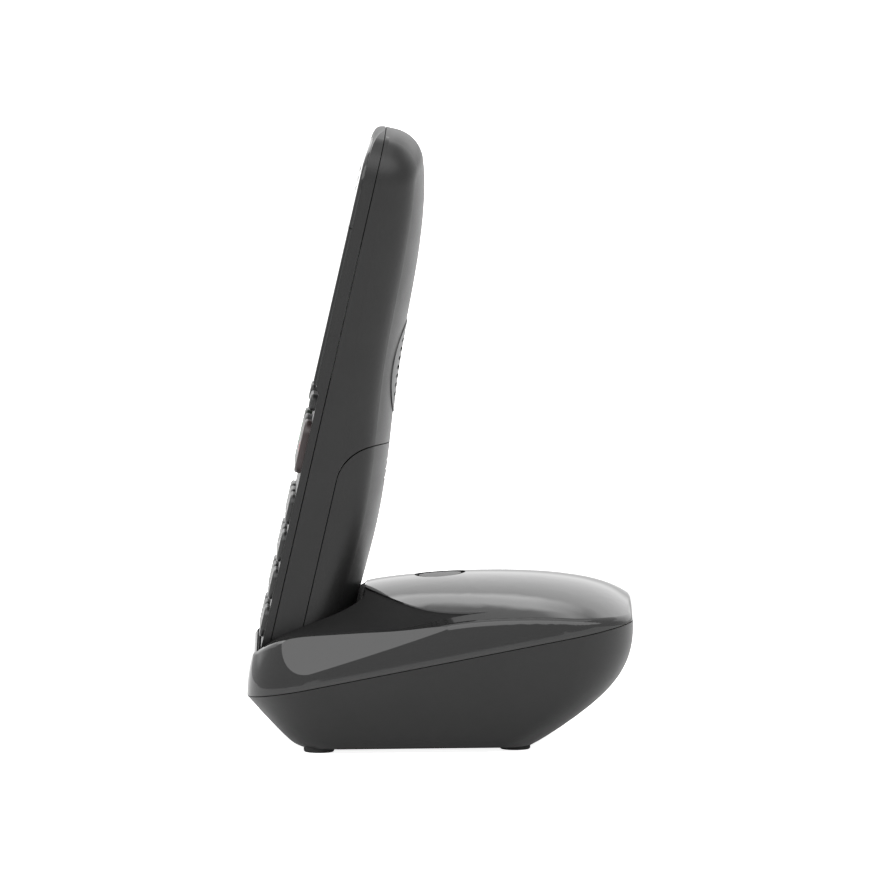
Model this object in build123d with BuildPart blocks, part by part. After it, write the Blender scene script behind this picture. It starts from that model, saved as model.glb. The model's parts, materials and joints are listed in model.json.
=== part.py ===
"""Cordless telephone: a handset standing in the sloping well of its charging base.

Millimetres. X is across the phone, +Y points to the rear of the base, +Z is up. The origin
is on the table, below the middle of the base. The handset is drawn in its own upright
frame (across, forward/back, up from its foot) that the cradle tips backwards.
"""

from build123d import *
import os
from math import atan, cos, radians, sin, sqrt

# ------------------------------------------------------------------ driving dimensions
BASE_LENGTH = 106.0
BASE_WIDTH = 86.0
BASE_CORNER = 18.0
WALL = 1.8
GAP = 0.12                       # half of a moulded seam

PARTING_HEIGHT = 25.8            # parting plane of the base, above the table at Y = 0
PARTING_RISE = 0.196             # and its climb towards the rear
FOOT_HEIGHT = 1.3                # clear height under the base
SIDE_DRAFT = 0.488               # inward lean of the bowl's sides
SKIN_DROP = 0.35                 # step from the shell down to the cradle insert

HANDSET_WIDTH = 49.0
HANDSET_LENGTH = 153.5
HANDSET_LEAN = 12.8              # degrees from upright
HANDSET_FOOT = (0, -48.8, 19.8)  # foot of the handset's seam plane, in the base
TOP_CORNER = 12.0
FOOT_CORNER = 12.0
TOP_ARCH = 60.0                  # radius of the gentle arch over its top
BACK_FILLET = 9.5
CASE_WALL = 1.5
FRONT_FACE = 2.2                 # keypad face, in front of the seam plane
FRONT_PLATE = 1.2

KEY_FLANGE = 0.6
KEY_GAP = 0.2
KEY_FILLET = 0.7
NUMBER_KEY = (13.2, 8.4)
NUMBER_PITCH = (14.6, 10.6)
NUMBER_BOTTOM = 14.9
CONTROL_HEIGHT = 64.2
CONTROL_X = 15.5
CONTROL_KEY = (12.4, 14.7)
NAV_KEY = (16.0, 14.7)
SOFT_HEIGHT = 76.8
SOFT_X = 13.4
SOFT_KEY = (13.0, 4.6)
KEY_PROUD = 1.3
CONTROL_PROUD = 1.9

DOOR_TOP = 69.4
DOOR_SEAM = 7.8                  # battery door's side seam, behind the seam plane
DOOR_CORNER = 11.5
BOARD_THICK = 1.2

# front y, front z, rear y, rear z and corner radius of the bowl, parting plane downwards
BOWL_STATIONS = (
    (-53.0, PARTING_HEIGHT - 53 * PARTING_RISE, 53.0, PARTING_HEIGHT + 53 * PARTING_RISE, 18.0),
    (-50.6, 12.7, 52.4, 28.0, 17.0),
    (-47.4, 9.1, 49.0, 20.2, 15.5),
    (-44.0, 5.6, 43.0, 13.6, 13.5),
    (-40.8, 2.6, 33.5, 6.3, 11.8),
    (-38.4, FOOT_HEIGHT, 25.5, FOOT_HEIGHT, 11.0),
)
# height over the parting plane and inward lean of the upper shell's walls
WALL_STATIONS = ((0.0, 0.0), (5.0, 0.35), (10.0, 1.35), (15.0, 3.05), (26.0, 8.6))
# flat that planes off the shoulder of each side: ends of its lower edge, and inward tilt
FLAT_FRONT = (42.7, -40.0, 21.9)
FLAT_REAR = (41.9, 0.0, 34.8)
FLAT_TILT = 28.0
# station along the base, crest height and height at the flanks of its top surface
TOP_STATIONS = (
    (-56.0, 23.6, 23.8),
    (-48.0, 29.4, 29.3),
    (-40.0, 34.6, 31.2),
    (-32.0, 39.3, 30.2),
    (-24.0, 42.9, 29.8),
    (-16.0, 44.8, 30.4),
    (-8.0, 45.75, 31.7),
    (0.0, 46.4, 33.4),
    (8.0, 46.8, 34.9),
    (16.0, 46.9, 35.8),
    (24.0, 46.7, 36.3),
    (32.0, 46.1, 36.5),
    (40.0, 44.9, 36.2),
    (48.0, 42.4, 35.0),
    (56.0, 37.0, 32.0),
)
# height up the handset, depth of its back's crest and of its flanks
BACK_STATIONS = (
    (-3.0, 20.6, 13.4),
    (20.0, 21.1, 13.9),
    (44.0, 21.7, 14.5),
    (69.0, 20.2, 13.0),
    (89.0, 18.0, 10.8),
    (117.0, 16.7, 9.6),
    (132.0, 15.3, 8.9),
    (143.0, 13.2, 8.1),
    (150.0, 10.9, 7.3),
    (157.0, 8.4, 6.4),
)
CRADLE_HALF = 39.3
CRADLE_FRONT = -50.2
WING_TIP = (37.2, 13.0)
DOME_FRONT = -21.2

RIM_FILLET = 2.5

PAGING_RADIUS = 5.8
PAGING_Y = 0.0
WELL_GAP = 0.4
WELL_WALL = 1.6
WELL_STEP = 7.3                  # where the well's floor drops to clear the battery door
WELL_DEPTH = 5.2
CONTACT_X = 12.0
CONTACT_Y = 2.5

POST_RADIUS = 2.3
POST_TOP = 12.0
SCREW_HEAD = 2.2
SCREW_SHANK = 1.1
SCREW_SEAT = 4.5
FOOT_RADIUS = 4.2
BAY_BACK = 38.0
BAY_HALF = 19.0
BAY_MIDDLE = 18.5
BAY_HEIGHT = 12.0
LINE_X = -9.5
LINE_SIZE = (13.0, 11.0)
POWER_X = 10.5
POWER_SIZE = 9.0
BASE_BOARD_Z = 26.2

# ------------------------------------------------------------------ frames
LEAN_SIN = sin(radians(HANDSET_LEAN))
LEAN_COS = cos(radians(HANDSET_LEAN))
PARTING_ANGLE = atan(PARTING_RISE)
PARTING = Plane(
    origin=(0, 0, PARTING_HEIGHT), x_dir=(1, 0, 0), z_dir=(0, -PARTING_RISE, 1)
)


def in_handset(x, y, z):
    """A point of the handset's upright frame, in the base's frame."""
    foot_x, foot_y, foot_z = HANDSET_FOOT
    return (
        foot_x + x,
        foot_y + y * LEAN_COS + z * LEAN_SIN,
        foot_z - y * LEAN_SIN + z * LEAN_COS,
    )


def level(z, x=0, y=0):
    """Plane across the handset at height z: sketch x across, sketch y to the back."""
    return Plane(
        origin=in_handset(x, y, z), x_dir=(1, 0, 0), z_dir=(0, LEAN_SIN, LEAN_COS)
    )


def facing(y, x=0, z=0):
    """Plane facing the user at depth y: sketch x across, sketch y up the handset."""
    return Plane(
        origin=in_handset(x, y, z), x_dir=(1, 0, 0), z_dir=(0, -LEAN_COS, LEAN_SIN)
    )


def side_on(x=0):
    """Plane seen from +X: sketch x to the handset's back, sketch y up the handset."""
    return Plane(
        origin=in_handset(x, 0, 0), x_dir=(0, LEAN_COS, -LEAN_SIN), z_dir=(1, 0, 0)
    )


def block(plane, width, height, depth, corner=0.0, mode=Mode.ADD):
    """Rectangular bar with rounded corners, grown along the plane's normal."""
    with BuildSketch(plane) as outline:
        if corner:
            RectangleRounded(width, height, corner)
        else:
            Rectangle(width, height)
    return extrude(outline.sketch, amount=depth, mode=mode)


def disc(plane, radius, depth, mode=Mode.ADD):
    """Round bar, grown along the plane's normal."""
    with BuildSketch(plane) as outline:
        Circle(radius)
    return extrude(outline.sketch, amount=depth, mode=mode)


def save(builder, name):
    """Label a finished piece and write it to its own file."""
    builder.part.label = name
    export_step(builder.part, f"parts/{name}.step")


os.makedirs("parts", exist_ok=True)


# ------------------------------------------------------------------ base: shared shapes
def parting_height(y):
    return PARTING_HEIGHT + PARTING_RISE * y


def bowl(inset=0.0):
    """Solid of the lower housing under the parting plane, its walls set in by inset."""
    sections = []
    for front_y, front_z, rear_y, rear_z, corner in BOWL_STATIONS:
        middle = ((front_y + rear_y) / 2, (front_z + rear_z) / 2 + inset)
        slope = (rear_z - front_z) / (rear_y - front_y)
        half_length = (rear_y - front_y) * sqrt(1 + slope * slope) / 2 - 1.2 * inset
        front_drop = parting_height(front_y) - front_z
        rear_drop = parting_height(rear_y) - rear_z
        front_half = BASE_WIDTH / 2 - front_drop * SIDE_DRAFT - 1.1 * inset
        rear_half = BASE_WIDTH / 2 - rear_drop * SIDE_DRAFT - 1.1 * inset
        plane = Plane(origin=(0, *middle), x_dir=(1, 0, 0), z_dir=(0, -slope, 1))
        with BuildSketch(plane) as section:
            with BuildLine():
                Polyline(
                    (-front_half, -half_length), (front_half, -half_length),
                    (rear_half, half_length), (-rear_half, half_length), close=True,
                )
            make_face()
            fillet(section.vertices(), corner - inset)
        sections.append(section.sketch)
    with BuildPart() as solid:
        loft(sections)
    return solid.part


def shoulder_flat(side, inset):
    """Plane of the flat along one side, facing outwards and set in by inset."""
    start = Vector(side * FLAT_FRONT[0], FLAT_FRONT[1], FLAT_FRONT[2])
    along = Vector(side * FLAT_REAR[0], FLAT_REAR[1], FLAT_REAR[2]) - start
    upwards = Vector(-side * sin(radians(FLAT_TILT)), 0, cos(radians(FLAT_TILT)))
    outwards = along.cross(upwards) * side
    return Plane(origin=start, x_dir=along, z_dir=outwards).offset(-inset)


def walls(inset=0.0):
    """Solid inside the upper shell's side walls, from the parting plane upwards."""
    tilt = sin(PARTING_ANGLE) / cos(PARTING_ANGLE)
    sections = []
    for height, lean in WALL_STATIONS:
        length = (BASE_LENGTH - 2 * (lean + inset)) / cos(PARTING_ANGLE)
        width = BASE_WIDTH - 2 * (lean + inset)
        with BuildSketch(PARTING.offset(height)) as section:
            with Locations((0, height * tilt)):
                RectangleRounded(width, length, BASE_CORNER - inset - 0.25 * lean)
        sections.append(section.sketch)
    with BuildPart() as solid:
        loft(sections)
    return solid.part


def under_dome(drop=0.0):
    """Solid under the base's top surface, which is lowered by drop."""
    half = BASE_WIDTH / 2 + 3
    sections = []
    for y, crest, flank in TOP_STATIONS:
        with BuildSketch(Plane.XZ.offset(-y)) as section:
            with BuildLine():
                Line((-half, flank - drop), (-half, -5))
                Line((-half, -5), (half, -5))
                Line((half, -5), (half, flank - drop))
                ThreePointArc(
                    (half, flank - drop), (0, crest - drop), (-half, flank - drop)
                )
            make_face()
        sections.append(section.sketch)
    with BuildPart() as solid:
        loft(sections)
    return solid.part


def cradle_outline(margin=0.0):
    """Plan of the matte cradle: its wings run back to points beside the dome."""
    half = CRADLE_HALF + margin
    front = CRADLE_FRONT - margin
    tip_x, tip_y = WING_TIP[0], WING_TIP[1] + 5 * margin
    with BuildSketch() as plan:
        with BuildLine():
            Polyline(
                (-tip_x, tip_y), (-half, -10), (3.3 - half, -39), (-28, front),
                (28, front), (half - 3.3, -39), (half, -10), (tip_x, tip_y),
            )
            Spline(
                (tip_x, tip_y), (25, -11.6 + margin), (0, DOME_FRONT + margin),
                (-25, -11.6 + margin), (-tip_x, tip_y), tangents=[(-0.05, -1), (-0.05, 1)],
            )
        make_face()
    return plan.sketch


def handset_prism(margin, foot, rear_foot):
    """The space the handset slides through along its own axis, grown by margin."""
    front = -FRONT_FACE - margin
    back = 22.0 + margin
    width = HANDSET_WIDTH + 2 * margin
    with BuildPart() as prism:
        with BuildSketch(level(foot, y=(front + back) / 2)) as whole:
            Rectangle(width, back - front)
            rear_corners = whole.vertices().group_by(Axis.Y)[-1]
            fillet(rear_corners, BACK_FILLET + margin)
            fillet(whole.vertices().group_by(Axis.Y)[0], 1.2)
        extrude(whole.sketch, amount=90)
        step = WELL_STEP - margin
        with BuildSketch(level(rear_foot, y=(step + back) / 2)) as rear:
            Rectangle(width, back - step)
        extrude(rear.sketch, amount=foot - rear_foot + 1)
    return prism.part


def upper_block(inset=0.0, drop=0.0):
    """Everything over the parting plane with its rim rounded: the shell's outer form."""
    with BuildPart() as solid:
        add(walls(inset))
        add(under_dome(drop), mode=Mode.INTERSECT)
        top = solid.faces().sort_by(Axis.Z)[-1]
        fillet(top.edges(), radius=RIM_FILLET - 0.6 * inset)
        for side in (-1, 1):
            split(bisect_by=shoulder_flat(side, inset), keep=Keep.BOTTOM)
    return solid.part


OUTER_BOWL = bowl()
INNER_BOWL = bowl(WALL)
OUTER_TOP = upper_block()
INNER_TOP = upper_block(WALL, WALL)
CRADLE_TOP = upper_block(0.0, SKIN_DROP)
CRADLE_UNDERSIDE = under_dome(SKIN_DROP + WALL)
WELL_SPACE = handset_prism(WELL_GAP, -WELL_GAP, -WELL_DEPTH)
WELL_BLOCK = handset_prism(
    WELL_GAP + WELL_WALL, -WELL_GAP - WELL_WALL, -WELL_DEPTH - WELL_WALL
)
WELL_KEEPOUT = handset_prism(
    WELL_GAP + WELL_WALL + 0.2, -WELL_GAP - WELL_WALL - 0.2, -WELL_DEPTH - WELL_WALL - 0.2
)

FRONT_POSTS = [(-29.0, -16.0), (29.0, -16.0)]
REAR_POSTS = [(-20.0, 10.0), (20.0, 10.0)]
BOARD_POSTS = [(-23.0, 2.0), (23.0, 2.0)]
FEET = [(-27.0, -33.2), (27.0, -33.2), (-20.0, 20.6), (20.0, 20.6)]

# ------------------------------------------------------------------ base: lower housing
with BuildPart() as lower_housing:
    add(OUTER_BOWL)
    add(INNER_BOWL, mode=Mode.SUBTRACT)
    # a boxed bay in the rear wall takes the two sockets
    bay_shell = Plane.XZ.offset(1.5 - BAY_BACK)
    with BuildSketch(bay_shell) as bay_frame:
        with Locations((0, BAY_MIDDLE)):
            Rectangle(2 * BAY_HALF + 3, BAY_HEIGHT + 3)
    extrude(bay_frame.sketch, amount=-20)
    # posts for the screws and for the circuit board
    for x, y in FRONT_POSTS + REAR_POSTS:
        disc(Plane((x, y, FOOT_HEIGHT)), POST_RADIUS, POST_TOP - FOOT_HEIGHT)
        disc(Plane((x, y, FOOT_HEIGHT)), POST_RADIUS + 1.3, SCREW_SEAT + 0.4)
    for x, y in BOARD_POSTS:
        disc(Plane((x, y, FOOT_HEIGHT)), 2.0, BASE_BOARD_Z - 0.1 - FOOT_HEIGHT)
    add(OUTER_BOWL, mode=Mode.INTERSECT)
    # seam: the rim stands just under the parting plane, with a locating tongue inside it
    split(bisect_by=PARTING.offset(-GAP), keep=Keep.BOTTOM)
    with BuildSketch(PARTING.offset(-1.6)) as tongue:
        tongue_width = BASE_WIDTH - 4.8
        tongue_length = BASE_LENGTH / cos(PARTING_ANGLE) - 5.6
        RectangleRounded(tongue_width, tongue_length, BASE_CORNER - 2.2)
        RectangleRounded(
            tongue_width - 2, tongue_length - 2, BASE_CORNER - 3.2, mode=Mode.SUBTRACT
        )
    extrude(tongue.sketch, amount=2.3)
    add(WELL_KEEPOUT, mode=Mode.SUBTRACT)
    with BuildSketch(Plane.XZ.offset(-BAY_BACK)) as bay_room:
        with Locations((0, BAY_MIDDLE)):
            Rectangle(2 * BAY_HALF, BAY_HEIGHT)
    extrude(bay_room.sketch, amount=-20, mode=Mode.SUBTRACT)
    with BuildSketch(Plane.XZ.offset(2 - BAY_BACK)) as socket_holes:
        with Locations((LINE_X, BAY_MIDDLE)):
            Rectangle(LINE_SIZE[0] + 0.3, LINE_SIZE[1] + 0.3)
        with Locations((POWER_X, BAY_MIDDLE)):
            Rectangle(POWER_SIZE + 0.3, POWER_SIZE + 0.3)
    extrude(socket_holes.sketch, amount=-4, mode=Mode.SUBTRACT)
    for x, y in FRONT_POSTS + REAR_POSTS:
        disc(Plane((x, y, 0)), SCREW_HEAD + 0.2, SCREW_SEAT, mode=Mode.SUBTRACT)
        disc(Plane((x, y, 0)), SCREW_SHANK + 0.15, POST_TOP + 1, mode=Mode.SUBTRACT)
    for x, y in FEET:
        disc(Plane((x, y, 0)), FOOT_RADIUS + 0.1, FOOT_HEIGHT + 0.5, mode=Mode.SUBTRACT)
save(lower_housing, "lower_housing")

with BuildPart() as rubber_feet:
    for x, y in FEET:
        disc(Plane((x, y, 0)), FOOT_RADIUS, FOOT_HEIGHT + 0.45)
    fillet(rubber_feet.edges().group_by(Axis.Z)[0], radius=0.5)
save(rubber_feet, "rubber_feet")

with BuildPart() as base_screws:
    for x, y in FRONT_POSTS + REAR_POSTS:
        disc(Plane((x, y, SCREW_SEAT - 1.6)), SCREW_HEAD, 1.5)
        disc(Plane((x, y, SCREW_SEAT - 0.2)), SCREW_SHANK, 14.0)
        for turn in (0, 90):
            slot = Plane((x, y, SCREW_SEAT - 1.6)).rotated((0, 0, turn))
            block(slot, 2.6, 0.6, 0.7, mode=Mode.SUBTRACT)
save(base_screws, "base_screws")

# ------------------------------------------------------------------ base: upper shell
with BuildPart() as upper_shell:
    add(OUTER_TOP)
    add(INNER_TOP, mode=Mode.SUBTRACT)
    split(bisect_by=PARTING.offset(GAP), keep=Keep.TOP)
    extrude(cradle_outline(GAP), amount=60, mode=Mode.SUBTRACT)
    add(WELL_SPACE, mode=Mode.SUBTRACT)
    # posts that the rear screws bite into
    for x, y in REAR_POSTS:
        disc(Plane((x, y, POST_TOP + 0.1)), POST_RADIUS, 44.0 - POST_TOP)
        disc(Plane((x, y, 0)), SCREW_SHANK + 0.05, SCREW_SEAT + 15, mode=Mode.SUBTRACT)
    # hole of the paging key, with a shallow ring around it
    disc(Plane((0, PAGING_Y, 30)), PAGING_RADIUS + 0.25, 30, mode=Mode.SUBTRACT)
    ring = disc(Plane((0, PAGING_Y, 30)), PAGING_RADIUS + 1.2, 30, mode=Mode.PRIVATE)
    add(ring - under_dome(0.5), mode=Mode.SUBTRACT)
save(upper_shell, "upper_shell")

with BuildPart() as paging_key:
    disc(Plane((0, PAGING_Y, 43.2)), PAGING_RADIUS, 8)
    add(under_dome(0.2), mode=Mode.INTERSECT)
    disc(Plane((0, PAGING_Y, 42.6)), PAGING_RADIUS + 1.2, 0.8)
    disc(Plane((0, PAGING_Y, 33.4)), 2.0, 9.5)
save(paging_key, "paging_key")

# ------------------------------------------------------------------ base: cradle insert
with BuildPart() as cradle_insert:
    add(CRADLE_TOP)
    add(CRADLE_UNDERSIDE, mode=Mode.SUBTRACT)
    extrude(cradle_outline(-GAP), amount=60, mode=Mode.INTERSECT)
    add(WELL_BLOCK & under_dome(WALL + 0.2))
    with BuildSketch() as plan_limit:
        with Locations((0, CRADLE_FRONT + GAP + 30)):
            Rectangle(2 * (CRADLE_HALF - GAP), 60)
        add(cradle_outline(-GAP))
    extrude(plan_limit.sketch, amount=60, mode=Mode.INTERSECT)
    for x, y in FRONT_POSTS:
        disc(Plane((x, y, POST_TOP + 0.1)), POST_RADIUS, 38.0 - POST_TOP)
        disc(Plane((x, y, 0)), SCREW_SHANK + 0.05, SCREW_SEAT + 15, mode=Mode.SUBTRACT)
    add(WELL_SPACE, mode=Mode.SUBTRACT)
    for side in (-1, 1):
        slot = level(-5, x=side * CONTACT_X, y=CONTACT_Y)
        block(slot, 5.4, 2.8, 6, mode=Mode.SUBTRACT)
save(cradle_insert, "cradle_insert")

for side, name in ((-1, "charge_contact_left"), (1, "charge_contact_right")):
    with BuildPart() as contact:
        block(level(-3.6, x=side * CONTACT_X, y=CONTACT_Y), 5.0, 2.4, 3.4)
        fillet(contact.faces().sort_by(Axis.Z)[-1].edges(), radius=0.5)
        block(level(-3.1, x=side * CONTACT_X, y=CONTACT_Y), 6.4, 3.6, 0.7)
    save(contact, name)

# ------------------------------------------------------------------ base: electronics
with BuildPart() as base_board:
    block(Plane((0, 10, BASE_BOARD_Z)), 52, 54, BOARD_THICK + 0.4)
    for x, y in REAR_POSTS:
        disc(Plane((x, y, 20)), POST_RADIUS + 0.4, 20, mode=Mode.SUBTRACT)
save(base_board, "base_board")

BOARD_FACE = BASE_BOARD_Z + BOARD_THICK + 0.4
with BuildPart() as paging_switch:
    block(Plane((0, PAGING_Y, BOARD_FACE)), 6.2, 6.2, 3.4, corner=0.5)
    disc(Plane((0, PAGING_Y, BOARD_FACE + 3.4)), 1.75, 0.9)
save(paging_switch, "paging_switch")

with BuildPart() as base_antenna:
    block(Plane((0, 34, BOARD_FACE)), 38, 0.8, 7.0)
    block(Plane((0, 34, BOARD_FACE + 2.5)), 30, 2, 3.0, mode=Mode.SUBTRACT)
save(base_antenna, "base_antenna")

with BuildPart() as line_socket:
    with BuildSketch(Plane.XZ.offset(-26)) as shell_face:
        with Locations((LINE_X, BAY_MIDDLE)):
            Rectangle(*LINE_SIZE)
    extrude(shell_face.sketch, amount=-12.4)
    with BuildSketch(Plane.XZ.offset(-38.4)) as mouth:
        with Locations((LINE_X, BAY_MIDDLE + 0.6)):
            Rectangle(9.8, 6.8)
        with Locations((LINE_X, BAY_MIDDLE - 3.6)):
            Rectangle(4.0, 2.2)
    extrude(mouth.sketch, amount=10, mode=Mode.SUBTRACT)
save(line_socket, "line_socket")

with BuildPart() as power_socket:
    with BuildSketch(Plane.XZ.offset(-27)) as shell_face:
        with Locations((POWER_X, BAY_MIDDLE)):
            Rectangle(POWER_SIZE, POWER_SIZE)
    extrude(shell_face.sketch, amount=-11.4)
    with BuildSketch(Plane.XZ.offset(-38.4)) as mouth:
        with Locations((POWER_X, BAY_MIDDLE)):
            Circle(2.8)
            Circle(0.65, mode=Mode.SUBTRACT)
    extrude(mouth.sketch, amount=9, mode=Mode.SUBTRACT)
save(power_socket, "power_socket")


# ------------------------------------------------------------------ handset: shared shapes
def case_outline(inset=0.0, crest_drop=0.0):
    """The handset's outline as the user sees it, its top lowered by crest_drop."""
    half = HANDSET_WIDTH / 2 - inset
    crest = HANDSET_LENGTH - inset - crest_drop
    shoulder = crest - TOP_ARCH + sqrt(TOP_ARCH**2 - half**2)
    with BuildSketch(facing(30)) as outline:
        with BuildLine():
            Polyline((-half, shoulder), (-half, inset), (half, inset), (half, shoulder))
            ThreePointArc((half, shoulder), (0, crest), (-half, shoulder))
        make_face()
        fillet(outline.vertices().sort_by(Axis.Y)[-2:], TOP_CORNER - inset)
        fillet(outline.vertices().sort_by(Axis.Y)[:2], FOOT_CORNER - inset)
    return outline.sketch


def case(inset=0.0):
    """Solid of the rear half, from the seam plane to the crowned back."""
    half = HANDSET_WIDTH / 2 - inset
    sections = []
    for height, crest, flank in BACK_STATIONS:
        back = crest - inset
        side = flank - inset
        with BuildSketch(level(height)) as section:
            with BuildLine():
                Polyline((-half, side), (-half, 0), (half, 0), (half, side))
                ThreePointArc((half, side), (0, back), (-half, side))
            make_face()
        sections.append(section.sketch)
    with BuildPart() as solid:
        loft(sections)
        extrude(case_outline(inset), amount=40, mode=Mode.INTERSECT)
        spine = [
            face for face in solid.faces()
            if face.normal_at().dot(Vector(0, LEAN_COS, -LEAN_SIN)) > 0.9
        ]
        fillet(spine[0].edges(), radius=BACK_FILLET - inset)
    return solid.part


def door_zone(margin=0.0):
    """Side outline of the battery door, extruded across the handset."""
    seam = DOOR_SEAM - margin
    top = DOOR_TOP + margin
    with BuildPart() as zone:
        with BuildSketch(side_on(-40)) as outline:
            with BuildLine():
                Polyline(
                    (seam, top - DOOR_CORNER), (seam, -6), (40, -6), (40, top),
                    (seam + DOOR_CORNER, top),
                )
                RadiusArc((seam + DOOR_CORNER, top), (seam, top - DOOR_CORNER), -DOOR_CORNER)
            make_face()
        extrude(outline.sketch, amount=80)
    return zone.part


OUTER_CASE = case()
INNER_CASE = case(CASE_WALL)
CLEAR_CASE = case(CASE_WALL + 0.3)
CASE_SKIN = OUTER_CASE - INNER_CASE

# ------------------------------------------------------------------ handset: rear housing
SPEAKER_HEIGHT = 90.3
SPEAKER_COVER = (12.6, 12.9)
COVER_PROUD = 0.25
SCREW_POINTS = [(-15.0, 6.9), (15.0, 6.9)]
CELL_RADIUS = 5.15
CELL_X = 5.8
CELL_Y = 12.5
CELL_FOOT = 12.0
CELL_LENGTH = 44.0
TRAY_FACE = 7.1

with BuildPart() as rear_housing:
    add(CASE_SKIN)
    split(bisect_by=facing(GAP), keep=Keep.BOTTOM)
    # a lip inside the seam
    with BuildSketch(facing(1.2, z=HANDSET_LENGTH / 2)) as lip:
        lip_width = HANDSET_WIDTH - 2 * CASE_WALL
        lip_length = HANDSET_LENGTH - 2 * CASE_WALL
        RectangleRounded(lip_width + 0.4, lip_length + 0.4, TOP_CORNER - CASE_WALL)
        RectangleRounded(
            lip_width - 1.4, lip_length - 1.4, TOP_CORNER - CASE_WALL - 0.7, mode=Mode.SUBTRACT
        )
    extrude(lip.sketch, amount=0.9)
    add(door_zone(GAP), mode=Mode.SUBTRACT)
    # battery tray: a floor, and a wall at each end of the cells
    block(facing(TRAY_FACE, z=34.5), HANDSET_WIDTH - 2 * CASE_WALL + 0.6, 67, 1.2)
    for height in (9.2, 57.6):
        cross = block(
            level(height, y=11), HANDSET_WIDTH, 9, 1.4, mode=Mode.PRIVATE
        )
        add(cross & CLEAR_CASE)
    for x, z in SCREW_POINTS:
        disc(facing(TRAY_FACE + 1, x, z), 1.2, 4, mode=Mode.SUBTRACT)
    # round hole for the loudspeaker cover
    with BuildSketch(facing(30, z=SPEAKER_HEIGHT)) as cover_hole:
        Ellipse(SPEAKER_COVER[0] + 0.2, SPEAKER_COVER[1] + 0.2)
    extrude(cover_hole.sketch, amount=20, mode=Mode.SUBTRACT)
    for side in (-1, 1):
        block(
            level(-1, x=side * CONTACT_X, y=CONTACT_Y), 5.7, 2.9, 4, mode=Mode.SUBTRACT
        )
save(rear_housing, "rear_housing")

with BuildPart() as battery_door:
    add(CASE_SKIN & door_zone(-GAP))
    # tongue that hooks under the housing above it
    block(level(63, y=16.9), 12, 1.2, 9.0)
    block(level(63, y=18.1), 12, 2.6, 4.0)
    # thumb grip
    with BuildSketch(facing(30, z=61.6)) as grip:
        for step in (-2.4, 0, 2.4):
            with Locations((0, step)):
                SlotOverall(12, 1.0)
    extrude(grip.sketch, amount=30 - 20.4, mode=Mode.SUBTRACT)
save(battery_door, "battery_door")

with BuildPart() as speaker_cover:
    add(case(-COVER_PROUD) - case(1.2))
    with BuildSketch(facing(30, z=SPEAKER_HEIGHT)) as cover_outline:
        Ellipse(*SPEAKER_COVER)
    extrude(cover_outline.sketch, amount=20, mode=Mode.INTERSECT)
    with BuildSketch(facing(30, z=SPEAKER_HEIGHT)) as slots:
        for side in (-1, 1):
            for step in range(-3, 4):
                with Locations((side * 4.6, 2.5 * step)):
                    SlotOverall(6.0 - 0.5 * abs(step), 1.1)
    extrude(slots.sketch, amount=20, mode=Mode.SUBTRACT)
save(speaker_cover, "speaker_cover")

with BuildPart() as rear_speaker:
    disc(facing(14.2, z=SPEAKER_HEIGHT), 11.0, 2.0)
    disc(facing(12.2, z=SPEAKER_HEIGHT), 7.5, 3.5)
save(rear_speaker, "rear_speaker")

with BuildPart() as battery_cells:
    for side in (-1, 1):
        disc(level(CELL_FOOT, x=side * CELL_X, y=CELL_Y), CELL_RADIUS, CELL_LENGTH - 0.8)
        nub = CELL_FOOT - 0.6 if side < 0 else CELL_FOOT + CELL_LENGTH - 0.9
        disc(level(nub, x=side * CELL_X, y=CELL_Y), 1.9, 0.7)
save(battery_cells, "battery_cells")

with BuildPart() as battery_contacts:
    for side in (-1, 1):
        for height in (10.7, 56.2):
            block(level(height + 0.05, x=side * CELL_X, y=CELL_Y), 8.4, 7.4, 0.4)
save(battery_contacts, "battery_contacts")

with BuildPart() as handset_screws:
    for x, z in SCREW_POINTS:
        disc(facing(TRAY_FACE + 1.4, x, z), 1.9, 1.3)
        disc(facing(TRAY_FACE + 0.2, x, z), 1.0, 7.0)
        block(facing(TRAY_FACE + 1.5, x, z), 2.4, 0.5, 0.6, mode=Mode.SUBTRACT)
        block(facing(TRAY_FACE + 1.5, x, z), 0.5, 2.4, 0.6, mode=Mode.SUBTRACT)
save(handset_screws, "handset_screws")

# ------------------------------------------------------------------ handset: keys
NUMBER_NAMES = (("1", "2", "3"), ("4", "5", "6"), ("7", "8", "9"), ("star", "0", "hash"))
KEYS = []
for row, names in enumerate(NUMBER_NAMES):
    height = NUMBER_BOTTOM + NUMBER_PITCH[1] * (3 - row)
    for column, digit in enumerate(names):
        place = (NUMBER_PITCH[0] * (column - 1), height)
        KEYS.append((f"key_{digit}", *place, *NUMBER_KEY, 2.8, KEY_PROUD))
KEYS.append(("talk_key", -CONTROL_X, CONTROL_HEIGHT, *CONTROL_KEY, 4.2, CONTROL_PROUD))
KEYS.append(("nav_key", 0.0, CONTROL_HEIGHT, *NAV_KEY, 6.4, CONTROL_PROUD))
KEYS.append(("end_key", CONTROL_X, CONTROL_HEIGHT, *CONTROL_KEY, 4.2, CONTROL_PROUD))
KEYS.append(("soft_key_left", -SOFT_X, SOFT_HEIGHT, *SOFT_KEY, 2.0, CONTROL_PROUD))
KEYS.append(("soft_key_right", SOFT_X, SOFT_HEIGHT, *SOFT_KEY, 2.0, CONTROL_PROUD))

PLATE_BACK = -FRONT_FACE + FRONT_PLATE
for name, x, z, width, height, corner, proud in KEYS:
    with BuildPart() as key:
        cap_depth = proud + FRONT_PLATE + 0.1
        block(facing(PLATE_BACK + 0.1, x, z), width, height, cap_depth, corner=corner)
        cap_face = key.faces().sort_by(Axis.Y)[0]
        fillet(cap_face.edges(), radius=KEY_FILLET)
        block(
            facing(PLATE_BACK + 0.1 + KEY_FLANGE, x, z), width + 0.9, height + 1.0, KEY_FLANGE,
            corner=corner,
        )
    save(key, name)

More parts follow.
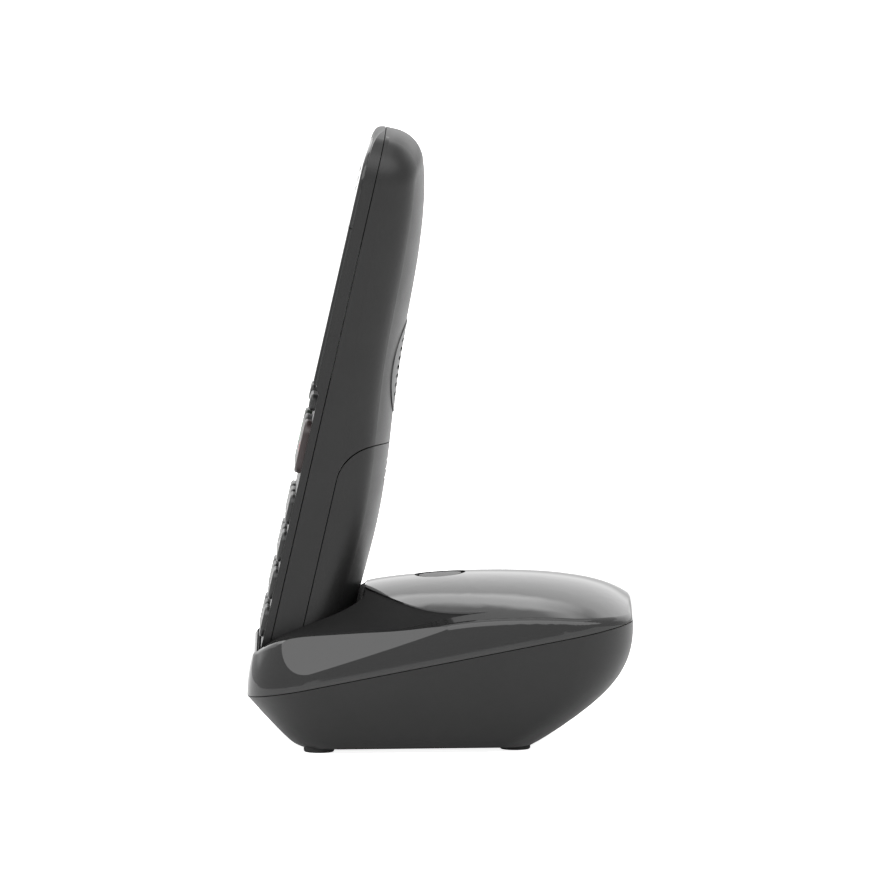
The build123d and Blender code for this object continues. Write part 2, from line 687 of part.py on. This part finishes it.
# ------------------------------------------------------------------ handset: front housing
LENS_FOOT = 82.0
LENS_TOP = 126.2
FACE_INSET = 1.3
FACE_DROP = 2.6                  # the polished face stops this much further from the top
FACE_FILLET = 0.9
PLATE_FACE = 3.3
LENS_THICK = 1.1
HOUSING_BROW = ((-PLATE_FACE, 141.0), (-3.05, 148.0), (-1.7, 152.2), (0.0, 153.3))
FACE_BROW = ((-PLATE_FACE - LENS_THICK, 141.0), (-3.95, 147.0), (-2.2, 151.6), (0.0, 153.7))


def front_profile(brow, foot, grow=0.0):
    """Solid behind the handset's upper face, which curves back over the brow's points."""
    brow = [(y - grow, z + grow) for y, z in brow]
    face = brow[0][0]
    with BuildPart() as solid:
        with BuildSketch(side_on(-HANDSET_WIDTH / 2)) as outline:
            with BuildLine():
                Polyline(brow[-1], (brow[-1][0], foot), (face, foot), brow[0])
                Spline(brow, tangents=[(0, 1), (1, 0.4)])
            make_face()
        extrude(outline.sketch, amount=HANDSET_WIDTH)
    return solid.part


def polished_face():
    """The lens and earpiece trim in one piece, with their edge rolled over all round."""
    with BuildPart() as face:
        add(front_profile(FACE_BROW, LENS_FOOT))
        extrude(case_outline(FACE_INSET, FACE_DROP), amount=60, mode=Mode.INTERSECT)
        to_user = facing(0).z_dir
        front = [one for one in face.faces() if one.normal_at().dot(to_user) > 0.2]
        rim = [edge for one in front for edge in one.edges()]
        fillet([edge for edge in rim if rim.count(edge) == 1], radius=FACE_FILLET)
        split(bisect_by=facing(-GAP), keep=Keep.TOP)
    return face.part


with BuildPart() as front_housing:
    with BuildSketch(side_on(-HANDSET_WIDTH / 2)) as outline:
        with BuildLine():
            ThreePointArc((0, 0), (-0.707 * FRONT_FACE, 1.46), (-FRONT_FACE, 5))
            Polyline((-FRONT_FACE, 5), (-FRONT_FACE, 79.8), (-PLATE_FACE, 81.4))
            Polyline((-PLATE_FACE, 81.4), (-PLATE_FACE, 90), (0, 90), (0, 0))
        make_face()
    extrude(outline.sketch, amount=HANDSET_WIDTH)
    add(front_profile(HOUSING_BROW, 85))
    extrude(case_outline(), amount=60, mode=Mode.INTERSECT)
    # hollow behind the plate
    with BuildSketch(facing(1, z=HANDSET_LENGTH / 2)) as hollow:
        Rectangle(HANDSET_WIDTH - 2 * CASE_WALL, HANDSET_LENGTH - 2 * CASE_WALL - 4)
        fillet(hollow.vertices(), TOP_CORNER - CASE_WALL)
    extrude(hollow.sketch, amount=1 - PLATE_BACK, mode=Mode.SUBTRACT)
    split(bisect_by=facing(-GAP), keep=Keep.TOP)
    for name, x, z, width, height, corner, proud in KEYS:
        block(
            facing(0, x, z), width + 2 * KEY_GAP, height + 2 * KEY_GAP, 10,
            corner=corner + KEY_GAP, mode=Mode.SUBTRACT,
        )
    block(facing(0, z=103), 36, 31, 10, corner=1.5, mode=Mode.SUBTRACT)
    disc(facing(0, z=6.2), 0.6, 10, mode=Mode.SUBTRACT)
    with BuildSketch(facing(0, z=138)) as ear_slots:
        for step in (-2.6, 0, 2.6):
            with Locations((0, step)):
                SlotOverall(11, 1.3)
    extrude(ear_slots.sketch, amount=10, mode=Mode.SUBTRACT)
    for x, z in SCREW_POINTS:
        disc(facing(5.7, x, z), 2.2, 5.7 - PLATE_BACK + 0.3)
        disc(facing(6, x, z), 1.05, 6.3, mode=Mode.SUBTRACT)
save(front_housing, "front_housing")

POLISHED_FACE = polished_face()
BEHIND_FACE = front_profile(HOUSING_BROW, LENS_FOOT - 1, grow=0.03)

with BuildPart() as display_lens:
    add(POLISHED_FACE)
    add(BEHIND_FACE, mode=Mode.SUBTRACT)
    split(bisect_by=level(LENS_TOP), keep=Keep.BOTTOM)
save(display_lens, "display_lens")

with BuildPart() as earpiece_trim:
    add(POLISHED_FACE)
    add(BEHIND_FACE, mode=Mode.SUBTRACT)
    split(bisect_by=level(LENS_TOP + 2 * GAP), keep=Keep.TOP)
    with BuildSketch(facing(0, z=138)) as trim_slots:
        for step in (-2.6, 0, 2.6):
            with Locations((0, step)):
                SlotOverall(11, 1.3)
    extrude(trim_slots.sketch, amount=10, mode=Mode.SUBTRACT)
save(earpiece_trim, "earpiece_trim")

# ------------------------------------------------------------------ handset: electronics
with BuildPart() as lcd_module:
    block(facing(1.6, z=103), 40, 37, 2.5, corner=0.8)
save(lcd_module, "lcd_module")

with BuildPart() as keypad_mat:
    block(facing(1.35, z=44.75), 43, 70.5, 0.8, corner=2.0)
save(keypad_mat, "keypad_mat")

with BuildPart() as main_board:
    block(facing(3.0, z=69), 42.5, 118, BOARD_THICK, corner=1.0)
save(main_board, "main_board")

with BuildPart() as receiver:
    disc(facing(1.6, z=138), 7.5, 2.5)
save(receiver, "receiver")

with BuildPart() as microphone:
    disc(facing(0.3, z=6.2), 2.2, 1.2)
save(microphone, "microphone")

with BuildPart() as handset_antenna:
    block(facing(3.4, z=147.5), 26, 2.4, 0.8)
save(handset_antenna, "handset_antenna")

with BuildPart() as handset_contacts:
    for side in (-1, 1):
        block(level(0.1, x=side * CONTACT_X, y=CONTACT_Y), 5.4, 2.6, 1.6)
save(handset_contacts, "handset_contacts")
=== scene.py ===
"""Looks of the cordless telephone and its charging base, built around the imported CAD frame."""

import json
import math

import bmesh
import bpy
from mathutils import Matrix, Vector


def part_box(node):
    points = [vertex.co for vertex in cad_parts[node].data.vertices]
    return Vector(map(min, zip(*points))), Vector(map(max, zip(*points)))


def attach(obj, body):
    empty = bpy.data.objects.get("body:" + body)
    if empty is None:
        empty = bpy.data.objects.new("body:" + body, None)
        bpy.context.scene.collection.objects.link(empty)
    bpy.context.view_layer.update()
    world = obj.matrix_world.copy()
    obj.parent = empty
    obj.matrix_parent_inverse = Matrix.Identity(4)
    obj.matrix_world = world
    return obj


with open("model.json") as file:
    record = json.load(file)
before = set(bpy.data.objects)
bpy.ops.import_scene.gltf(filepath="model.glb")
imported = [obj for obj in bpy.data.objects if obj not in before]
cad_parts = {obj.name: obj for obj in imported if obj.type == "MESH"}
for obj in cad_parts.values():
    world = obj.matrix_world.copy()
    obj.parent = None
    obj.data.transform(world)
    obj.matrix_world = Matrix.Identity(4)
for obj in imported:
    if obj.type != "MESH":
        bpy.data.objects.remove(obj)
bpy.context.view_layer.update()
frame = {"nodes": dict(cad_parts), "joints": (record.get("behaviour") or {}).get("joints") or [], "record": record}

MM = 0.001
NODES = frame["nodes"]
SLOT_OF = {row["node"]: row["material_slot"] for row in frame["record"]["subparts"]}
LIFT = next(joint for joint in frame["joints"] if joint["name"] == "handset_lift")
UP = Vector(LIFT["axis"]).normalized()           # up the leaning handset
ACROSS = Vector((1, 0, 0))
TO_BACK = UP.cross(ACROSS).normalized()          # from its keypad to its back


# ------------------------------------------------------------------ node helpers
def new_material(name):
    """An empty node material: returns it with its tree, shader and object coordinates."""
    material = bpy.data.materials.new(name)
    material.use_nodes = True
    tree = material.node_tree
    shader = tree.nodes["Principled BSDF"]
    place = tree.nodes.new("ShaderNodeTexCoord").outputs["Object"]
    return material, tree, shader, place


def noise(tree, place, scale, detail=3.0, roughness=0.55, stretch=None):
    """Noise in object space; scale is in features per metre."""
    if stretch:
        mapping = tree.nodes.new("ShaderNodeMapping")
        mapping.inputs["Scale"].default_value = stretch
        tree.links.new(place, mapping.inputs["Vector"])
        place = mapping.outputs["Vector"]
    node = tree.nodes.new("ShaderNodeTexNoise")
    node.inputs["Scale"].default_value = scale
    node.inputs["Detail"].default_value = detail
    node.inputs["Roughness"].default_value = roughness
    tree.links.new(place, node.inputs["Vector"])
    return node.outputs["Fac"]


def spread(tree, value, low, high, from_low=0.3, from_high=0.7):
    """Maps a 0 to 1 value onto low to high."""
    node = tree.nodes.new("ShaderNodeMapRange")
    node.inputs["From Min"].default_value = from_low
    node.inputs["From Max"].default_value = from_high
    node.inputs["To Min"].default_value = low
    node.inputs["To Max"].default_value = high
    tree.links.new(value, node.inputs["Value"])
    return node.outputs["Result"]


def blend_colour(tree, factor, first, second):
    """Mixes two colours, or a colour and a colour socket, by a factor socket."""
    node = tree.nodes.new("ShaderNodeMix")
    node.data_type = "RGBA"
    tree.links.new(factor, node.inputs["Factor"])
    for socket, colour in ((node.inputs[6], first), (node.inputs[7], second)):
        if isinstance(colour, (tuple, list)):
            socket.default_value = (*colour, 1.0)
        else:
            tree.links.new(colour, socket)
    return node.outputs[2]


def maths(tree, operation, first, second):
    node = tree.nodes.new("ShaderNodeMath")
    node.operation = operation
    for socket, value in zip(node.inputs, (first, second)):
        if isinstance(value, (int, float)):
            socket.default_value = value
        else:
            tree.links.new(value, socket)
    return node.outputs["Value"]


def bump(tree, height, distance, strength=1.0, under=None):
    node = tree.nodes.new("ShaderNodeBump")
    node.inputs["Strength"].default_value = strength
    node.inputs["Distance"].default_value = distance
    tree.links.new(height, node.inputs["Height"])
    if under is not None:
        tree.links.new(under, node.inputs["Normal"])
    return node.outputs["Normal"]


def grey(value, warm=0.0):
    return (value * (1 + warm), value, value * (1 - warm))


def extent(node_name, direction):
    """Lowest and highest reach of a CAD node along a direction."""
    reach = [vertex.co.dot(direction) for vertex in NODES[node_name].data.vertices]
    return min(reach), max(reach)


# ------------------------------------------------------------------ materials
WINDOW_HALF = 17.5 * MM          # half the width of the display's see-through window
WINDOW_FOOT = 6.5 * MM           # its printed border, below and above
WINDOW_HEAD = 7.5 * MM
WINDOW_EDGE = 0.15 * MM


def matte_plastic(name, tone, roughness=0.5, grain=4200.0, depth=0.016, specular=0.5):
    """Moulded plastic with a spark-eroded grain, slight mottling and handling polish."""
    material, tree, shader, place = new_material(name)
    mottle = noise(tree, place, 90.0, 4.0)
    colour = blend_colour(
        tree, spread(tree, mottle, 0.0, 1.0), tuple(0.9 * c for c in tone), tuple(1.1 * c for c in tone)
    )
    polish = noise(tree, place, 38.0, 3.0)
    fine = noise(tree, place, grain, 2.0, 0.6)
    coarse = noise(tree, place, grain * 0.38, 2.0, 0.5)
    rough = maths(
        tree, "ADD", spread(tree, polish, roughness - 0.04, roughness + 0.05),
        spread(tree, fine, -0.03, 0.03),
    )
    tree.links.new(colour, shader.inputs["Base Color"])
    tree.links.new(rough, shader.inputs["Roughness"])
    grain_normal = bump(tree, coarse, depth * MM * 1.5, 0.55)
    tree.links.new(bump(tree, fine, depth * MM, 0.7, grain_normal), shader.inputs["Normal"])
    shader.inputs["Specular IOR Level"].default_value = specular
    return material


def gloss_plastic(name, tone, roughness=0.045, specular=0.5):
    """Polished moulding: faint orange peel, hairline wiping marks and a little dust haze."""
    material, tree, shader, place = new_material(name)
    haze = noise(tree, place, 60.0, 5.0, 0.6)
    wiping = noise(tree, place, 700.0, 2.0, 0.5, stretch=(1.0, 0.06, 1.0))
    peel = noise(tree, place, 210.0, 1.5, 0.4)
    colour = blend_colour(
        tree, spread(tree, haze, 0.0, 1.0), tuple(0.93 * c for c in tone), tuple(1.07 * c for c in tone)
    )
    rough = maths(
        tree, "ADD", spread(tree, haze, roughness * 0.8, roughness * 1.5),
        spread(tree, wiping, 0.0, 0.03, 0.55, 0.8),
    )
    tree.links.new(colour, shader.inputs["Base Color"])
    tree.links.new(rough, shader.inputs["Roughness"])
    tree.links.new(bump(tree, peel, 0.004 * MM, 0.5), shader.inputs["Normal"])
    shader.inputs["Specular IOR Level"].default_value = specular
    shader.inputs["Coat Weight"].default_value = 0.0
    return material


def rubber(name, tone):
    """Dull elastomer."""
    material, tree, shader, place = new_material(name)
    mottle = noise(tree, place, 300.0, 4.0)
    fine = noise(tree, place, 3000.0, 2.0)
    tree.links.new(
        blend_colour(tree, mottle, tuple(0.8 * c for c in tone), tuple(1.25 * c for c in tone)),
        shader.inputs["Base Color"],
    )
    tree.links.new(spread(tree, fine, 0.72, 0.88), shader.inputs["Roughness"])
    tree.links.new(bump(tree, fine, 0.02 * MM, 0.8), shader.inputs["Normal"])
    return material


def metal(name, tone, roughness=0.22):
    """Plated or drawn metal with fine drawing lines and slight tarnish."""
    material, tree, shader, place = new_material(name)
    lines = noise(tree, place, 2500.0, 2.0, 0.5, stretch=(1.0, 0.08, 0.08))
    tarnish = noise(tree, place, 220.0, 4.0)
    tree.links.new(
        blend_colour(tree, spread(tree, tarnish, 0.0, 1.0), tone, tuple(0.72 * c for c in tone)),
        shader.inputs["Base Color"],
    )
    tree.links.new(spread(tree, lines, roughness - 0.06, roughness + 0.12), shader.inputs["Roughness"])
    tree.links.new(bump(tree, lines, 0.004 * MM, 0.6), shader.inputs["Normal"])
    shader.inputs["Metallic"].default_value = 1.0
    return material


def laminate(name):
    """Circuit board: green mask over faint copper tracks."""
    material, tree, shader, place = new_material(name)
    tracks = tree.nodes.new("ShaderNodeTexVoronoi")
    tracks.distance = "MANHATTAN"
    tracks.inputs["Scale"].default_value = 420.0
    tree.links.new(place, tracks.inputs["Vector"])
    edge = spread(tree, tracks.outputs["Distance"], 0.0, 1.0, 0.35, 0.5)
    weave = noise(tree, place, 900.0, 3.0)
    base = blend_colour(tree, edge, (0.012, 0.075, 0.03), (0.02, 0.13, 0.05))
    tree.links.new(blend_colour(tree, spread(tree, weave, 0.0, 0.25), base, (0.03, 0.16, 0.07)),
                   shader.inputs["Base Color"])
    tree.links.new(spread(tree, weave, 0.25, 0.4), shader.inputs["Roughness"])
    tree.links.new(bump(tree, edge, 0.03 * MM, 0.5), shader.inputs["Normal"])
    return material


def window(material):
    """Paints the see-through display area, with its printed border, onto the lens."""
    tree = material.node_tree
    shader = tree.nodes["Principled BSDF"]
    place = next(node for node in tree.nodes if node.type == "TEX_COORD").outputs["Object"]
    low, high = extent("display_lens", UP)
    climb = tree.nodes.new("ShaderNodeVectorMath")
    climb.operation = "DOT_PRODUCT"
    climb.inputs[1].default_value = UP
    tree.links.new(place, climb.inputs[0])
    split = tree.nodes.new("ShaderNodeSeparateXYZ")
    tree.links.new(place, split.inputs["Vector"])
    across = maths(tree, "ABSOLUTE", split.outputs["X"], 0.0)
    up = climb.outputs["Value"]
    inside = maths(
        tree, "MULTIPLY",
        spread(tree, across, 1.0, 0.0, WINDOW_HALF, WINDOW_HALF + WINDOW_EDGE),
        maths(
            tree, "MULTIPLY",
            spread(tree, up, 0.0, 1.0, low + WINDOW_FOOT, low + WINDOW_FOOT + WINDOW_EDGE),
            spread(tree, up, 1.0, 0.0, high - WINDOW_HEAD - WINDOW_EDGE, high - WINDOW_HEAD),
        ),
    )
    cells = noise(tree, place, 1600.0, 1.0)
    panel = blend_colour(tree, cells, (0.052, 0.062, 0.05), (0.066, 0.077, 0.062))
    face = shader.inputs["Base Color"].links[0].from_socket
    tree.links.new(blend_colour(tree, inside, face, panel), shader.inputs["Base Color"])
    return material


def build_materials():
    """One material for each slot of the record."""
    return {
        "case_matte": matte_plastic("case_matte", grey(0.0085), 0.37, specular=0.35),
        "cradle_matte": matte_plastic("cradle_matte", grey(0.009), 0.72, specular=0.12),
        "gloss_shell": gloss_plastic("gloss_shell", grey(0.012)),
        "gloss_face": gloss_plastic("gloss_face", grey(0.014)),
        "display_glass": window(gloss_plastic("display_glass", grey(0.008, -0.03), 0.02)),
        "keycap": matte_plastic("keycap", grey(0.018), 0.34, depth=0.008),
        "keycap_green": matte_plastic("keycap_green", (0.018, 0.024, 0.018), 0.34, depth=0.008),
        "keycap_red": matte_plastic("keycap_red", (0.027, 0.017, 0.017), 0.34, depth=0.008),
        "speaker_grille": matte_plastic("speaker_grille", grey(0.018), 0.38),
        "paging_rubber": matte_plastic("paging_rubber", grey(0.012), 0.45),
        "rubber": rubber("rubber", grey(0.015)),
        "board": laminate("board"),
        "component": matte_plastic("component", grey(0.02), 0.4),
        "lcd": gloss_plastic("lcd", (0.16, 0.19, 0.16), 0.08),
        "legend": matte_plastic("legend", grey(0.5), 0.4, depth=0.004),
        "legend_green": matte_plastic("legend_green", (0.03, 0.32, 0.06), 0.4, depth=0.004),
        "legend_red": matte_plastic("legend_red", (0.42, 0.025, 0.02), 0.4, depth=0.004),
        "contact_metal": metal("contact_metal", (0.82, 0.76, 0.62)),
        "copper": metal("copper", (0.85, 0.45, 0.28), 0.3),
        "screw_steel": metal("screw_steel", (0.6, 0.6, 0.62), 0.3),
        "cell_wrap": gloss_plastic("cell_wrap", (0.05, 0.07, 0.1), 0.15),
        "socket_plastic": matte_plastic("socket_plastic", grey(0.014), 0.42),
    }


MATERIALS = build_materials()
for node_name, node in NODES.items():
    node.data.materials.clear()
    node.data.materials.append(MATERIALS[SLOT_OF[node_name]])


# ------------------------------------------------------------------ legends on the keys
LEGEND_HIGH = 0.02 * MM          # half the thickness of the print
DIGIT_SIZE = 5.6 * MM
LETTER_SIZE = 2.3 * MM
LEGEND_SHIFT = 2.6 * MM          # digit to the left of the key's middle, letters to its right


def key_frame(node_name):
    """Placement on a key's cap: x across, y up the handset, z out towards the user."""
    left, right = extent(node_name, ACROSS)
    foot, head = extent(node_name, UP)
    face = extent(node_name, TO_BACK)[0]
    centre = ACROSS * (left + right) / 2 + UP * (foot + head) / 2 + TO_BACK * face
    columns = Matrix((ACROSS, UP, -TO_BACK)).transposed().to_4x4()
    return Matrix.Translation(centre) @ columns


def print_on_key(node_name, mesh, material_name, piece_name):
    """Lays a flat mesh on a key's cap and lets it ride with the key."""
    piece = bpy.data.objects.new(piece_name, mesh)
    bpy.context.scene.collection.objects.link(piece)
    piece.matrix_world = key_frame(node_name)
    mesh.materials.clear()
    mesh.materials.append(MATERIALS[material_name])
    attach(piece, node_name)


def written(lines):
    """Mesh of short texts: each line is a text, its place across and up, and its size."""
    joined = bmesh.new()
    for text, across, up, size in lines:
        curve = bpy.data.curves.new("writing", "FONT")
        curve.body = text
        curve.size = size
        curve.extrude = LEGEND_HIGH
        curve.resolution_u = 4
        curve.align_x = "CENTER"
        curve.align_y = "CENTER"
        writer = bpy.data.objects.new("writing", curve)
        mesh = bpy.data.meshes.new_from_object(writer)
        mesh.transform(Matrix.Translation((across, up, 0.0)))
        joined.from_mesh(mesh)
        bpy.data.objects.remove(writer)
        bpy.data.curves.remove(curve)
        bpy.data.meshes.remove(mesh)
    return finished(joined, "legend")


def finished(form, name):
    """Closes a bmesh into a named mesh."""
    mesh = bpy.data.meshes.new(name)
    form.to_mesh(mesh)
    form.free()
    return mesh


def plate(form, outline):
    """Adds a flat plate with this outline, LEGEND_HIGH thick on either side of the cap."""
    lower = [form.verts.new((x, y, -LEGEND_HIGH)) for x, y in outline]
    upper = [form.verts.new((x, y, LEGEND_HIGH)) for x, y in outline]
    form.faces.new(list(reversed(lower)))
    form.faces.new(upper)
    count = len(outline)
    for index in range(count):
        after = (index + 1) % count
        form.faces.new((lower[index], lower[after], upper[after], upper[index]))


def receiver_symbol(turn):
    """A telephone receiver: a bowed grip with a pad at each end."""
    form = bmesh.new()
    radius, width, half_angle, steps = 3.4 * MM, 0.85 * MM, math.radians(52), 12
    angles = [math.radians(90) + half_angle * (1 - 2 * i / steps) for i in range(steps + 1)]
    outer = [(radius * math.cos(a), radius * math.sin(a)) for a in angles]
    inner = [((radius - width) * math.cos(a), (radius - width) * math.sin(a)) for a in angles]
    bow = outer + inner[::-1]
    ends = []
    for angle in (angles[0], angles[-1]):
        x, y = (radius - 0.2 * MM) * math.cos(angle), (radius - 0.9 * MM) * math.sin(angle)
        ends.append([
            (x + dx * 0.95 * MM, y + dy * 0.75 * MM)
            for dx, dy in ((-1, -1), (1, -1), (1, 1), (-1, 1))
        ])
    for outline in (bow, *ends):
        turned = [
            (x * math.cos(turn) - (y - 2.3 * MM) * math.sin(turn),
             x * math.sin(turn) + (y - 2.3 * MM) * math.cos(turn))
            for x, y in outline
        ]
        plate(form, turned[::-1] if outline is bow else turned)
    return finished(form, "receiver_symbol")


def arrows():
    """Four small arrowheads round the middle key, and a ring for its centre press."""
    form = bmesh.new()
    for quarter in range(4):
        turn = math.radians(90 * quarter)
        outline = [(-1.1 * MM, 4.7 * MM), (1.1 * MM, 4.7 * MM), (0.0, 5.9 * MM)]
        plate(form, [
            (x * math.cos(turn) - y * math.sin(turn), x * math.sin(turn) + y * math.cos(turn))
            for x, y in outline
        ])
    sides = 40
    for side in range(sides):
        start, end = 2 * math.pi * side / sides, 2 * math.pi * (side + 1) / sides
        plate(form, [
            (radius * MM * math.cos(angle), radius * MM * math.sin(angle))
            for radius, angle in ((2.6, start), (2.9, start), (2.9, end), (2.6, end))
        ])
    return finished(form, "arrows")


def dash():
    """A short bar, the mark of a soft key."""
    form = bmesh.new()
    plate(form, [(x * MM, y * MM) for x, y in ((-2.2, -0.3), (2.2, -0.3), (2.2, 0.3), (-2.2, 0.3))])
    return finished(form, "dash")


def legends():
    """Prints every key's mark."""
    letters = {
        "2": "ABC", "3": "DEF", "4": "GHI", "5": "JKL", "6": "MNO",
        "7": "PQRS", "8": "TUV", "9": "WXYZ",
    }
    marks = {"star": "*", "hash": "#"}
    for name in [*"0123456789", *marks]:
        lines = [(marks.get(name, name), -LEGEND_SHIFT, 0.0, DIGIT_SIZE)]
        if name in letters:
            lines.append((letters[name], LEGEND_SHIFT, -0.2 * MM, LETTER_SIZE))
        print_on_key(f"key_{name}", written(lines), "legend", f"legend_{name}")
    print_on_key(
        "talk_key", receiver_symbol(math.radians(130)), "legend_green", "legend_talk"
    )
    print_on_key("end_key", receiver_symbol(0.0), "legend_red", "legend_end")
    print_on_key("nav_key", arrows(), "legend", "legend_nav")
    for side in ("left", "right"):
        print_on_key(f"soft_key_{side}", dash(), "legend", f"legend_soft_{side}")


def socket_pins():
    """Four gilt spring wires that hang from the roof of the line socket's mouth."""
    low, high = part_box("line_socket")
    middle = (low[0] + high[0]) / 2
    rear = high[1]
    roof = high[2] - 1.5 * MM
    pitch, half, thick = 1.02 * MM, 0.2 * MM, 0.25 * MM
    path = [(-1.5, 0.0), (-3.0, -0.2), (-8.5, -3.2), (-9.3, -3.4)]
    form = bmesh.new()
    for index in range(4):
        x = middle + (index - 1.5) * pitch
        rings = []
        for back, drop in path:
            y, z = rear + back * MM, roof + drop * MM
            rings.append([
                form.verts.new(corner)
                for corner in (
                    (x - half, y, z), (x + half, y, z), (x + half, y, z - thick), (x - half, y, z - thick)
                )
            ])
        for first, second in zip(rings, rings[1:]):
            for side in range(4):
                after = (side + 1) % 4
                form.faces.new((first[side], first[after], second[after], second[side]))
        form.faces.new(rings[0][::-1])
        form.faces.new(rings[-1])
    bmesh.ops.recalc_face_normals(form, faces=form.faces)
    mesh = finished(form, "socket_pins")
    mesh.materials.append(MATERIALS["contact_metal"])
    piece = bpy.data.objects.new("socket_pins", mesh)
    bpy.context.scene.collection.objects.link(piece)
    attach(piece, "base")


legends()
socket_pins()


# ------------------------------------------------------------------ stage, light and camera
FLOOR_SIZE = 12.0                # half the width of the paper sheet
FLOOR_GLOW = 0.9                 # the sheet burns out to white where the camera sees it
FLOOR_BOUNCE = 0.12              # and glows this little on the object
VIEW_ELEVATION = 6.0
VIEW_DISTANCE = 8.0
VIEW_WIDTH = 242.0 * MM          # width of the view at the object's middle
AIM_HEIGHT = 83.1 * MM
SENSOR_WIDTH = 36.0
STUDIO_LOW = 0.85                # brightness of the studio's walls at the horizon
STUDIO_HIGH = 0.95               # and overhead
# each panel's brightness over the studio's own, then its low limit, high limit and soft edge
# along x, y and z of the direction that it is seen in
PANELS = (
    (2.3, ((0.28, 2.0, 0.03), (-0.7, 0.75, 0.05), (0.5, 0.95, 0.02))),
    (0.75, ((-2.0, -0.25, 0.05), (-0.85, 0.8, 0.05), (0.13, 0.62, 0.04))),
    (1.7, ((-2.0, -0.3, 0.05), (-0.75, 0.06, 0.05), (0.6, 0.72, 0.02))),
)
LAMP_PLACE = (0.1, 0.0, 1.6)
LAMP_TARGET = (0.0, 0.0, 0.05)
LAMP_SIDE = 1.2
LAMP_POWER = 4.0


def floor():
    """A sheet of white paper that runs on past the view."""
    mesh = bpy.data.meshes.new("floor")
    form = bmesh.new()
    bmesh.ops.create_grid(form, x_segments=1, y_segments=1, size=FLOOR_SIZE)
    form.to_mesh(mesh)
    form.free()
    plane = bpy.data.objects.new("floor", mesh)
    bpy.context.scene.collection.objects.link(plane)
    material, tree, shader, place = new_material("floor_paper")
    paper = noise(tree, place, 25.0, 4.0)
    tree.links.new(
        blend_colour(tree, paper, (0.87, 0.87, 0.87), (0.9, 0.9, 0.9)), shader.inputs["Base Color"]
    )
    shader.inputs["Roughness"].default_value = 0.9
    shader.inputs["Specular IOR Level"].default_value = 0.1
    shader.inputs["Emission Color"].default_value = (1.0, 1.0, 1.0, 1.0)
    path = tree.nodes.new("ShaderNodeLightPath")
    glow = spread(tree, path.outputs["Is Camera Ray"], FLOOR_BOUNCE, FLOOR_GLOW, 0.0, 1.0)
    tree.links.new(glow, shader.inputs["Emission Strength"])
    mesh.materials.append(material)


def softbox(name):
    """A square diffuser over the object."""
    data = bpy.data.lights.new(name, "AREA")
    data.shape = "RECTANGLE"
    data.size = LAMP_SIDE
    data.size_y = LAMP_SIDE
    data.energy = LAMP_POWER
    lamp = bpy.data.objects.new(name, data)
    lamp.location = LAMP_PLACE
    aim = Vector(LAMP_TARGET) - Vector(LAMP_PLACE)
    lamp.rotation_euler = aim.to_track_quat("-Z", "Y").to_euler()
    bpy.context.scene.collection.objects.link(lamp)


def surroundings():
    """White studio with a bank of soft panels, drawn by the direction that they are seen in."""
    world = bpy.data.worlds.new("studio")
    world.use_nodes = True
    tree = world.node_tree
    background = tree.nodes["Background"]
    background.inputs["Color"].default_value = (1.0, 1.0, 1.0, 1.0)
    direction = tree.nodes.new("ShaderNodeTexCoord").outputs["Generated"]
    split = tree.nodes.new("ShaderNodeSeparateXYZ")
    tree.links.new(direction, split.inputs["Vector"])
    x, y, z = (split.outputs[axis] for axis in "XYZ")
    total = spread(tree, z, STUDIO_LOW, STUDIO_HIGH, 0.0, 0.9)
    for strength, limits in PANELS:
        panel = strength
        for value, (low, high, soft) in zip((x, y, z), limits):
            rising = spread(tree, value, 0.0, 1.0, low - soft, low + soft)
            falling = spread(tree, value, 1.0, 0.0, high - soft, high + soft)
            panel = maths(tree, "MULTIPLY", panel, maths(tree, "MULTIPLY", rising, falling))
        total = maths(tree, "ADD", total, panel)
    path = tree.nodes.new("ShaderNodeLightPath")
    seen = maths(tree, "MAXIMUM", path.outputs["Is Camera Ray"], total)
    tree.links.new(seen, background.inputs["Strength"])
    bpy.context.scene.world = world


def camera():
    """Long lens from the side, a little above the table."""
    middle = Vector((0.0, 0.0, AIM_HEIGHT))
    rise = math.radians(VIEW_ELEVATION)
    back = Vector((math.cos(rise), 0.0, math.sin(rise)))
    data = bpy.data.cameras.new("camera")
    data.lens = SENSOR_WIDTH * VIEW_DISTANCE / VIEW_WIDTH
    data.clip_start = 0.05
    data.clip_end = 90.0
    eye = bpy.data.objects.new("camera", data)
    eye.location = middle + back * VIEW_DISTANCE
    eye.rotation_euler = (-back).to_track_quat("-Z", "Y").to_euler()
    bpy.context.scene.collection.objects.link(eye)
    bpy.context.scene.camera = eye


camera()
floor()
surroundings()
softbox("overhead")
bpy.context.scene.view_settings.view_transform = "Standard"
bpy.context.scene.view_settings.look = "None"
